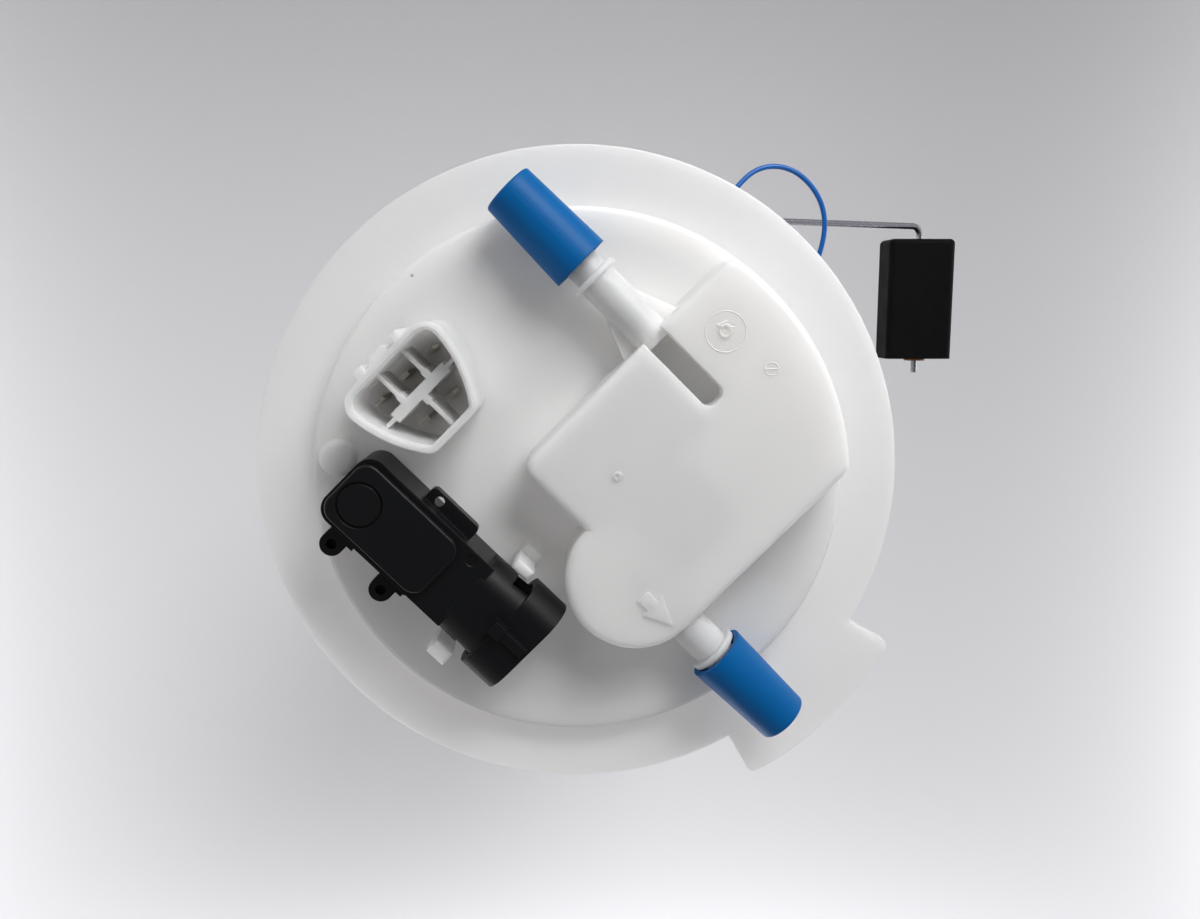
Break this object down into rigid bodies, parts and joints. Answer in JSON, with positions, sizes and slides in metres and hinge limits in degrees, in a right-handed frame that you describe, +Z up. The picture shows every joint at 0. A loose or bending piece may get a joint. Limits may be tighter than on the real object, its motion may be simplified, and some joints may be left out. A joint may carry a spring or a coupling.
{
  "type": "fuel pump module",
  "caption": "In-tank fuel pump module: moulded flange with pipes and sockets, sprung reservoir on guide rods, electric pump inside and a swinging level float.",
  "frame": {"origin": "centre of the flange's seating face, on the module's axis", "axes": "+Z up along the module, out of the tank; +X the way the float arm reaches; +Y to the side that carries the level sender"},
  "size_m": [0.1985, 0.1515, 0.219],
  "materials": {
    "natural_acetal": "natural acetal moulding, satin",
    "black_nylon": "black glass-filled nylon moulding",
    "blue_polythene": "blue polythene, soft gloss",
    "black_foam": "closed-cell nitrile foam",
    "tinned_brass": "tinned brass",
    "spring_steel": "bright steel wire",
    "ground_steel": "ground steel rod",
    "zinc_steel": "zinc-plated steel",
    "nitrile": "black nitrile rubber",
    "ferrite": "sintered ferrite",
    "carbon": "pressed carbon",
    "copper": "bare copper",
    "laminated_steel": "stacked steel plates",
    "phenolic": "moulded phenolic resin",
    "ceramic": "fired alumina with printed tracks",
    "filter_cloth": "woven nylon filter cloth",
    "black_hose": "corrugated nylon tube",
    "blue_insulation": "blue wire insulation",
    "amber_clip": "amber nylon washer"
  },
  "bodies": {
    "flange": {"flange_cover": "natural_acetal", "connector_terminals": "tinned_brass", "harness_plug": "natural_acetal", "sensor_housing": "black_nylon", "sensor_lid": "black_nylon", "sensor_terminals": "tinned_brass", "sensor_grommet": "nitrile", "guide_rod_1": "ground_steel", "guide_rod_2": "ground_steel", "guide_rod_3": "ground_steel", "lift_spring_1": "spring_steel", "lift_spring_2": "spring_steel", "lift_spring_3": "spring_steel", "rod_clips": "spring_steel", "vent_valve_body": "natural_acetal", "vent_valve_cap": "natural_acetal", "fuel_hose": "black_hose", "blue_wire": "blue_insulation"},
    "vent_float": {"vent_valve_float": "natural_acetal"},
    "vent_cap": {"vent_pipe_cap": "blue_polythene"},
    "supply_cap": {"supply_pipe_cap": "blue_polythene"},
    "reservoir": {"reservoir_cup": "natural_acetal", "reservoir_lid": "natural_acetal", "foot_valve": "nitrile", "pump_case": "zinc_steel", "pump_outlet_cover": "black_nylon", "pump_inlet_cover": "phenolic", "impeller_ring": "phenolic", "brushes": "carbon", "magnet_1": "ferrite", "magnet_2": "ferrite", "pump_isolator": "nitrile", "inlet_strainer": "filter_cloth", "pressure_regulator": "zinc_steel", "sender_housing": "black_nylon", "sender_card": "ceramic", "sender_terminals": "tinned_brass"},
    "pump_rotor": {"impeller": "phenolic", "armature": "laminated_steel", "commutator": "copper", "rotor_shaft": "ground_steel"},
    "check_valve": {"check_valve_poppet": "natural_acetal"},
    "float_arm": {"arm_hub": "natural_acetal", "wiper_contacts": "tinned_brass", "float_arm_wire": "spring_steel", "float_retainer": "amber_clip"},
    "float": {"float_block": "black_foam"}
  },
  "joints": [
    {"name": "reservoir_slide", "type": "slide", "parent": "flange", "child": "reservoir", "axis": [0, 0, 1], "range_m": [0, 0.03], "stiffness_N_per_m": 400, "springref_m": -0.03, "deforming": ["lift_spring_1", "lift_spring_2", "lift_spring_3", "fuel_hose", "blue_wire"]},
    {"name": "vent_cap_pull", "type": "slide", "parent": "flange", "child": "vent_cap", "axis": [-0.7071, 0.7071, 0], "range_m": [0, 0.028]},
    {"name": "supply_cap_pull", "type": "slide", "parent": "flange", "child": "supply_cap", "axis": [0.7071, -0.7071, 0], "range_m": [0, 0.028]},
    {"name": "vent_float_lift", "type": "slide", "parent": "flange", "child": "vent_float", "axis": [0, 0, 1], "range_m": [0, 0.0038]},
    {"name": "pump_rotor_spin", "type": "hinge", "parent": "reservoir", "child": "pump_rotor", "pos_m": [0.00349, -0.01701, -0.13], "axis": [0, 0, 1], "continuous": true},
    {"name": "check_valve_lift", "type": "slide", "parent": "reservoir", "child": "check_valve", "axis": [0, 0, 1], "range_m": [0, 0.002], "stiffness_N_per_m": 20, "springref_m": -0.005},
    {"name": "float_arm_swing", "type": "hinge", "parent": "reservoir", "child": "float_arm", "pos_m": [0, 0.06, -0.058], "axis": [0, 1, 0], "range_deg": [-40, 30]},
    {"name": "float_spin", "type": "hinge", "parent": "float_arm", "child": "float", "pos_m": [0.11343, 0.0409, -0.10291], "axis": [0, 1, 0], "continuous": true}
  ]
}
